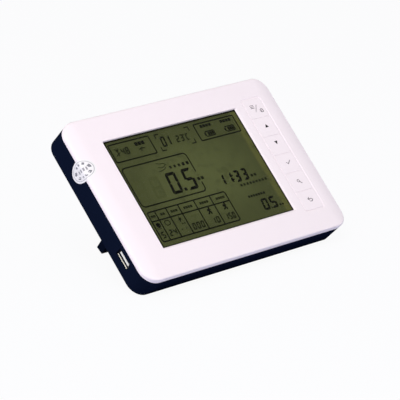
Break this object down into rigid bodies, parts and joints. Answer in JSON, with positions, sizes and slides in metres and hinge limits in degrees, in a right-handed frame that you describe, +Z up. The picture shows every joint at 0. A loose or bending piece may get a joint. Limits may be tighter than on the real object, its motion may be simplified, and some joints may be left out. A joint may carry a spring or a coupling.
{
  "type": "desktop weather monitor",
  "caption": "Desktop weather readout: two-shell housing leaning on a fold-out stand, with a segment display, a column of push keys and a socket in its left wall.",
  "frame": {"origin": "middle of the flat land along the lower rear edge of the housing, on the desk", "axes": "+X to the right seen from the front, +Y to the back, +Z up; the face looks to -Y and up"},
  "size_m": [0.197, 0.107, 0.1058],
  "materials": {
    "white_plastic": "satin moulded white with a faint cool tint",
    "navy_plastic": "fine-grained moulded dark blue",
    "clear_acrylic": "clear polished acrylic",
    "display_film": "olive reflective display film",
    "display_glass": "thin flat glass",
    "foil": "bright reflective foil",
    "black_plastic": "black moulded plastic",
    "black_rubber": "soft black rubber",
    "circuit_board": "green laminate with solder mask",
    "white_nylon": "white insulating plastic",
    "steel": "plated steel",
    "gold_contact": "gold-plated contact metal",
    "battery_wrap": "blue shrink wrap"
  },
  "bodies": {
    "housing": {"front_cover": "white_plastic", "rear_cover": "navy_plastic", "battery_door": "navy_plastic", "lcd_window": "clear_acrylic", "light_guide": "clear_acrylic", "lcd_polariser": "display_film", "lcd_front_glass": "display_glass", "lcd_rear_glass": "display_glass", "lcd_reflector": "foil", "lcd_holder": "black_plastic", "processor_chip": "black_plastic", "memory_chip": "black_plastic", "capacitors": "black_plastic", "switch_bodies": "black_plastic", "speaker_cone": "black_plastic", "window_gasket": "black_rubber", "zebra_strip": "black_rubber", "speaker_gasket": "black_rubber", "back_bumpers": "black_rubber", "main_board": "circuit_board", "radio_module": "circuit_board", "usb_tongue": "white_nylon", "usb_insulator": "white_nylon", "climate_sensor": "white_nylon", "led_strip": "white_nylon", "usb_shell": "steel", "stand_pin": "steel", "case_screws": "steel", "board_screws": "steel", "door_screw": "steel", "speaker_frame": "steel", "speaker_magnet": "steel", "crystal": "steel", "usb_contacts": "gold_contact", "battery_contacts": "gold_contact", "radio_antenna": "gold_contact", "battery_pack": "battery_wrap"},
    "stand": {"stand_leg": "navy_plastic", "stand_pads": "black_rubber"},
    "set_button": {"set_key": "white_plastic", "set_plunger": "black_plastic"},
    "up_button": {"up_key": "white_plastic", "up_plunger": "black_plastic"},
    "down_button": {"down_key": "white_plastic", "down_plunger": "black_plastic"},
    "confirm_button": {"confirm_key": "white_plastic", "confirm_plunger": "black_plastic"},
    "query_button": {"query_key": "white_plastic", "query_plunger": "black_plastic"},
    "back_button": {"back_key": "white_plastic", "back_plunger": "black_plastic"}
  },
  "joints": [
    {"name": "stand_hinge", "type": "hinge", "parent": "housing", "child": "stand", "pos_m": [0, 0.04878, 0.05426], "axis": [-1, 0, 0], "range_deg": [0, 81.5]},
    {"name": "set_press", "type": "slide", "parent": "housing", "child": "set_button", "axis": [0, 0.7157, -0.6984], "range_m": [0, 0.0005], "stiffness_N_per_m": 1200},
    {"name": "up_press", "type": "slide", "parent": "housing", "child": "up_button", "axis": [0, 0.7157, -0.6984], "range_m": [0, 0.0005], "stiffness_N_per_m": 1200},
    {"name": "down_press", "type": "slide", "parent": "housing", "child": "down_button", "axis": [0, 0.7157, -0.6984], "range_m": [0, 0.0005], "stiffness_N_per_m": 1200},
    {"name": "confirm_press", "type": "slide", "parent": "housing", "child": "confirm_button", "axis": [0, 0.7157, -0.6984], "range_m": [0, 0.0005], "stiffness_N_per_m": 1200},
    {"name": "query_press", "type": "slide", "parent": "housing", "child": "query_button", "axis": [0, 0.7157, -0.6984], "range_m": [0, 0.0005], "stiffness_N_per_m": 1200},
    {"name": "back_press", "type": "slide", "parent": "housing", "child": "back_button", "axis": [0, 0.7157, -0.6984], "range_m": [0, 0.0005], "stiffness_N_per_m": 1200}
  ]
}
